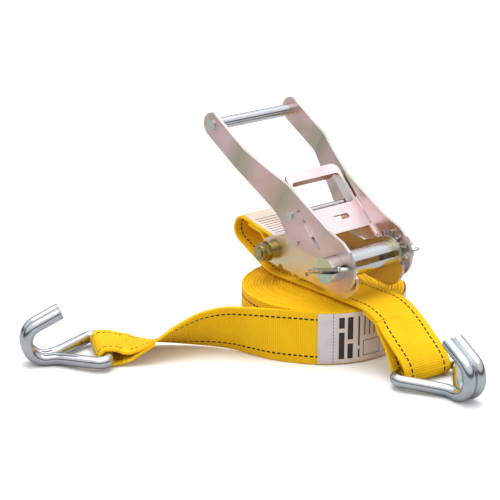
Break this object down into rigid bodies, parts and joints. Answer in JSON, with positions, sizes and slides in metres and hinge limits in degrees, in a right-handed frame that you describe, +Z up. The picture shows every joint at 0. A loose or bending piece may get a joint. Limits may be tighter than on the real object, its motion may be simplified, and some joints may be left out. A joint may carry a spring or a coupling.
{
  "type": "ratchet strap",
  "caption": "Tie-down strap: lever ratchet on a short webbing strap with a double-J wire hook, lying on a coiled long strap that ends in a second hook.",
  "frame": {"origin": "centre of the long strap's coil, on the surface it lies on", "axes": "+X from the frame bolt towards the spindle, +Y along the spindle towards the far side, +Z up"},
  "size_m": [0.3328, 0.3347, 0.2003],
  "materials": {
    "webbing": "woven polyester",
    "label": "printed woven label, blank",
    "hook_wire": "bright zinc plate",
    "bright_steel": "bright zinc plate",
    "wheel_steel": "zinc plate",
    "handle_plate": "iridescent yellow-passivated zinc",
    "pawl_plate": "iridescent zinc, pink cast",
    "frame_plate": "iridescent yellow-passivated zinc",
    "bolt_zinc": "yellow zinc",
    "spring_wire": "spring steel"
  },
  "bodies": {
    "long_strap": {"long_strap_coil": "webbing", "long_strap_lead": "webbing", "long_strap_label": "label"},
    "long_hook": {"long_hook": "hook_wire"},
    "short_strap": {"short_strap": "webbing", "short_strap_label": "label"},
    "short_hook": {"short_hook": "hook_wire"},
    "frame": {"frame_plate_near": "frame_plate", "frame_plate_far": "frame_plate", "frame_bolt": "bolt_zinc", "bolt_sleeve": "bright_steel", "bolt_collar": "bolt_zinc", "bolt_washer": "bolt_zinc", "lock_nut": "bolt_zinc", "frame_tie": "frame_plate", "lock_pawl_spring": "spring_wire"},
    "lock_pawl": {"lock_pawl": "frame_plate"},
    "spindle": {"spindle_bar_upper": "bright_steel", "spindle_bar_lower": "bright_steel", "ratchet_wheel_near": "wheel_steel", "ratchet_wheel_far": "wheel_steel", "cotter_pin_near": "wheel_steel", "cotter_pin_far": "wheel_steel"},
    "handle": {"handle_arm_near": "handle_plate", "handle_arm_far": "handle_plate", "grip_rod": "bright_steel", "cross_rod": "bright_steel", "drive_pawl_spring": "spring_wire"},
    "drive_pawl": {"drive_pawl": "pawl_plate"}
  },
  "joints": [
    {"name": "ratchet_lift", "type": "slide", "parent": "long_strap", "child": "short_strap", "axis": [0, 0, 1], "range_m": [0, 0.12]},
    {"name": "frame_swing", "type": "hinge", "parent": "short_strap", "child": "frame", "pos_m": [-0.0375, 0, 0.0792], "axis": [0, -1, 0], "range_deg": [0, 30]},
    {"name": "handle_swing", "type": "hinge", "parent": "frame", "child": "handle", "pos_m": [0.057, 0, 0.088], "axis": [0, 1, 0], "range_deg": [-15, 150]},
    {"name": "drive_pawl_slide", "type": "slide", "parent": "handle", "child": "drive_pawl", "axis": [-0.7034, 0, 0.7108], "range_m": [0, 0.007], "stiffness_N_per_m": 600, "springref_m": -0.005, "deforming": ["drive_pawl_spring"]},
    {"name": "lock_pawl_slide", "type": "slide", "parent": "frame", "child": "lock_pawl", "axis": [-0.9673, 0, -0.2538], "range_m": [0, 0.007], "stiffness_N_per_m": 600, "springref_m": -0.005, "deforming": ["lock_pawl_spring"]},
    {"name": "spindle_turn", "type": "hinge", "parent": "frame", "child": "spindle", "pos_m": [0.057, 0, 0.088], "axis": [0, 1, 0], "continuous": true},
    {"name": "long_hook_swing", "type": "hinge", "parent": "long_strap", "child": "long_hook", "pos_m": [-0.082, -0.189, 0.0091], "axis": [-0.8988, 0.4384, 0], "range_deg": [0, 45]},
    {"name": "short_hook_swing", "type": "hinge", "parent": "short_strap", "child": "short_hook", "pos_m": [0.136, -0.005, 0.0091], "axis": [-0.1219, -0.9925, 0], "range_deg": [0, 45]}
  ]
}
